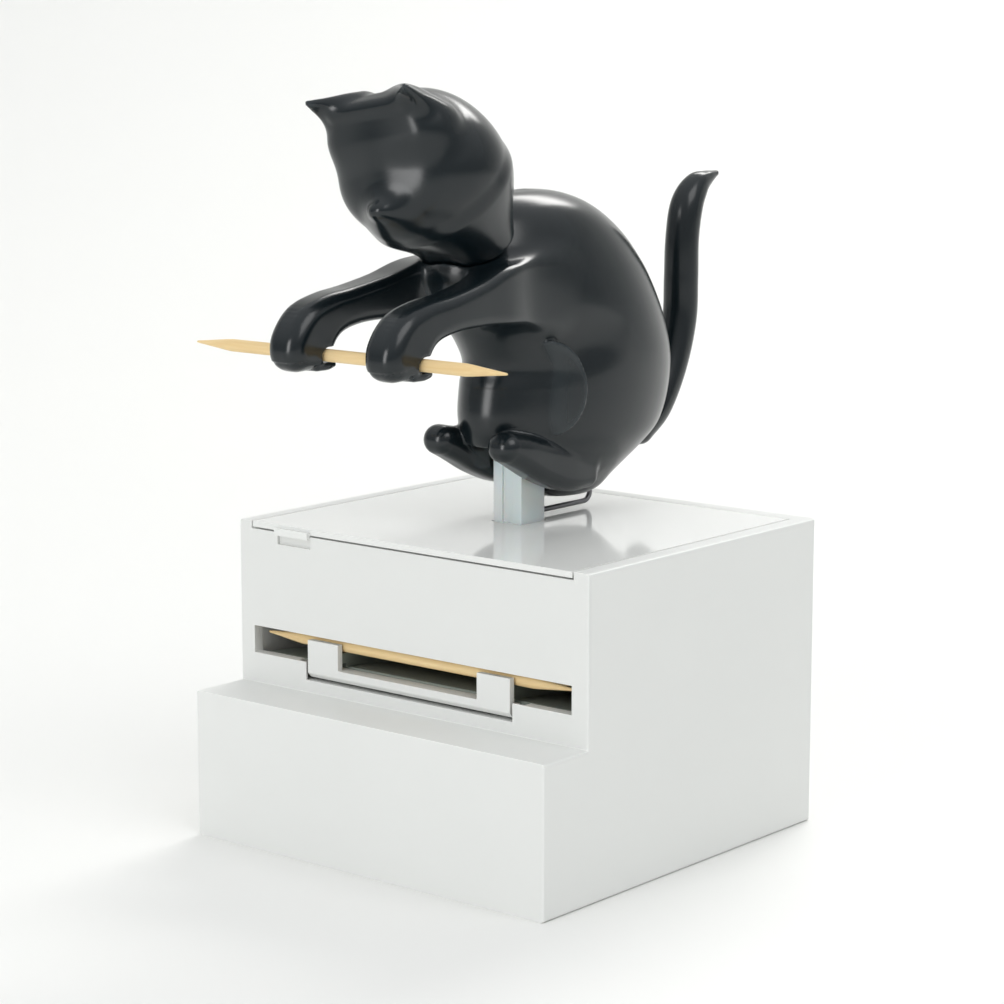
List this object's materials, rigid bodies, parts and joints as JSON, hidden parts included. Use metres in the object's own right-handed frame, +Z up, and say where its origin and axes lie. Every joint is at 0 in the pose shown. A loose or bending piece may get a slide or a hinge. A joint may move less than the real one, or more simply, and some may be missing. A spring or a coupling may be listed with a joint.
{
  "type": "toothpick dispenser",
  "caption": "Stepped block that stores toothpicks, with a black kitten figure on a post that bows to the slot and lifts one toothpick in its paws.",
  "frame": {"origin": "centre of the underside of the block, on the surface that it stands on", "axes": "+Z up, the front with the slot faces -Y, and the pull tab lies towards -X"},
  "size_m": [0.074, 0.102, 0.1248],
  "materials": {
    "pale_plastic": "satin moulded polystyrene, pale grey white",
    "post_plastic": "glossy, slightly translucent, pale grey",
    "dark_plastic": "matt, dark grey",
    "black_plastic": "satin black with a soft highlight",
    "steel": "bright zinc",
    "dark_wire": "drawn wire, dull",
    "birch": "turned, unvarnished"
  },
  "bodies": {
    "block": {"base_housing": "pale_plastic", "bottom_cover": "pale_plastic", "cover_screw_front_left": "steel", "cover_screw_front_right": "steel", "cover_screw_back_left": "steel", "cover_screw_back_right": "steel", "magazine_tray": "dark_plastic", "gate_pin": "steel", "gate_spring": "steel", "ready_toothpick": "birch", "spare_toothpick_01": "birch", "spare_toothpick_02": "birch", "spare_toothpick_03": "birch", "spare_toothpick_04": "birch", "spare_toothpick_05": "birch", "spare_toothpick_06": "birch", "spare_toothpick_07": "birch", "spare_toothpick_08": "birch", "spare_toothpick_09": "birch", "spare_toothpick_10": "birch", "spare_toothpick_11": "birch", "spare_toothpick_12": "birch"},
    "lid": {"lid_panel": "pale_plastic", "fulcrum_post": "post_plastic", "post_screw_left": "steel", "post_screw_right": "steel", "stop_wire": "dark_wire", "return_spring": "steel"},
    "kitten": {"pivot_pin": "steel", "kitten_body_left": "black_plastic", "kitten_body_right": "black_plastic", "kitten_head": "black_plastic", "kitten_foreleg_left": "black_plastic", "kitten_foreleg_right": "black_plastic", "kitten_hind_leg_left": "black_plastic", "kitten_hind_leg_right": "black_plastic", "kitten_tail": "black_plastic"},
    "gate": {"feed_gate": "pale_plastic"},
    "held_pick": {"held_toothpick": "birch"}
  },
  "joints": [
    {"name": "lid_lift", "type": "slide", "parent": "block", "child": "lid", "axis": [0, 0, 1], "range_m": [0, 0.06]},
    {"name": "kitten_bow", "type": "hinge", "parent": "lid", "child": "kitten", "pos_m": [0, 0.00315, 0.0665], "axis": [1, 0, 0], "range_deg": [0, 62], "stiffness_Nm_per_rad": 0.02, "springref_deg": -14.32},
    {"name": "gate_swing", "type": "hinge", "parent": "block", "child": "gate", "pos_m": [0, -0.0238, 0.0282], "axis": [1, 0, 0], "range_deg": [0, 35], "stiffness_Nm_per_rad": 0.0005, "springref_deg": -17.19},
    {"name": "pick_release", "type": "slide", "parent": "kitten", "child": "held_pick", "axis": [1, 0, 0], "range_m": [0, 0.052]}
  ]
}
